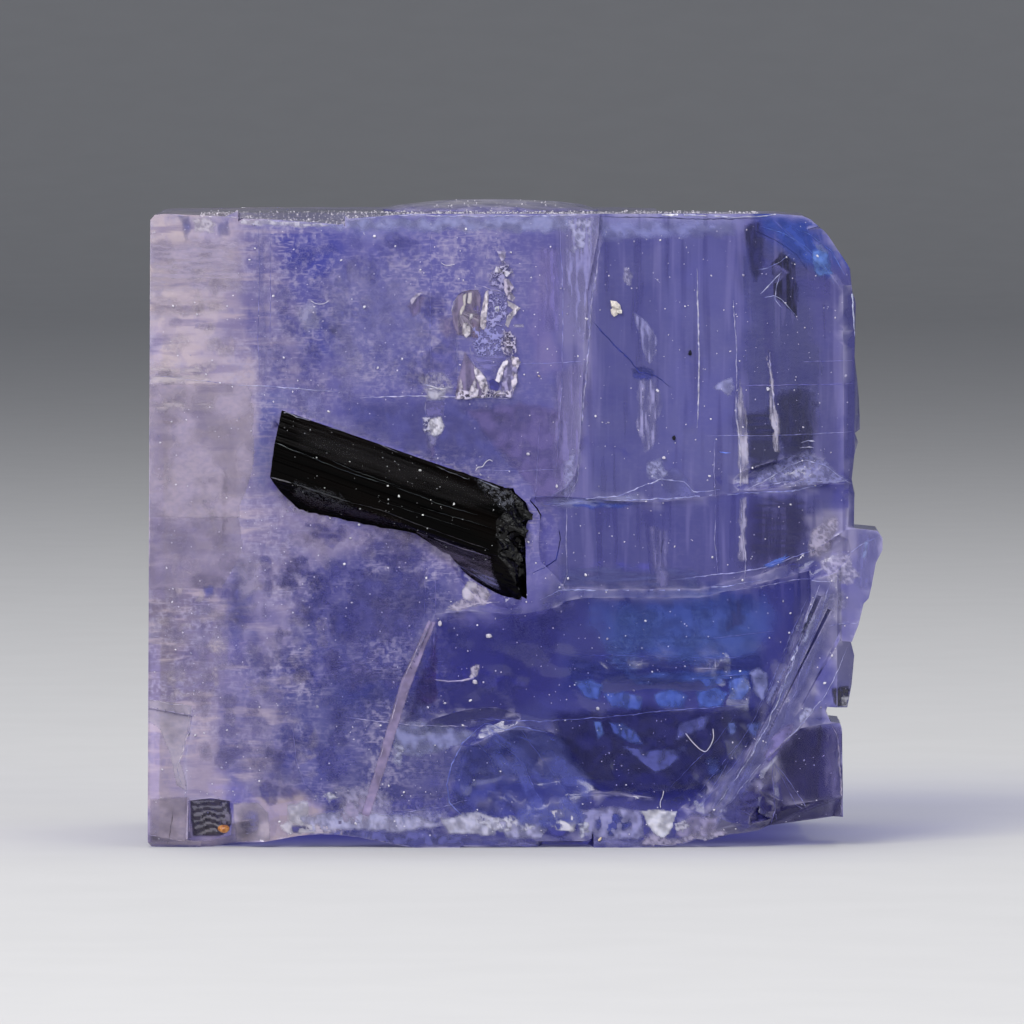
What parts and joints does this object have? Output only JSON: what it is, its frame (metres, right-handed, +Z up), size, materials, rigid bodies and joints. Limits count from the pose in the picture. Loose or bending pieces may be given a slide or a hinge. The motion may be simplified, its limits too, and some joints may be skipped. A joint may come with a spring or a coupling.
{
  "type": "carletonite crystal specimen",
  "caption": "Stubby translucent blue-violet crystal block with a milky left side, cleavage ledges and a black prism set in its front face.",
  "frame": {"origin": "under the middle of the block's bounding box, on the surface it rests on", "axes": "+Z up along the crystal's prism, +X to the right as the pictured face is seen, and that face looks along -Y"},
  "size_m": [0.0132, 0.0094, 0.0116],
  "materials": {
    "carletonite": "vitreous, translucent blue-violet, milky mauve towards the left face",
    "aegirine": "glossy black with lengthwise striations and a granular broken end",
    "orange_mineral": "dull orange-brown grain"
  },
  "bodies": {
    "root": {"carletonite_crystal": "carletonite", "aegirine_prism": "aegirine", "orange_grain": "orange_mineral"}
  },
  "joints": []
}
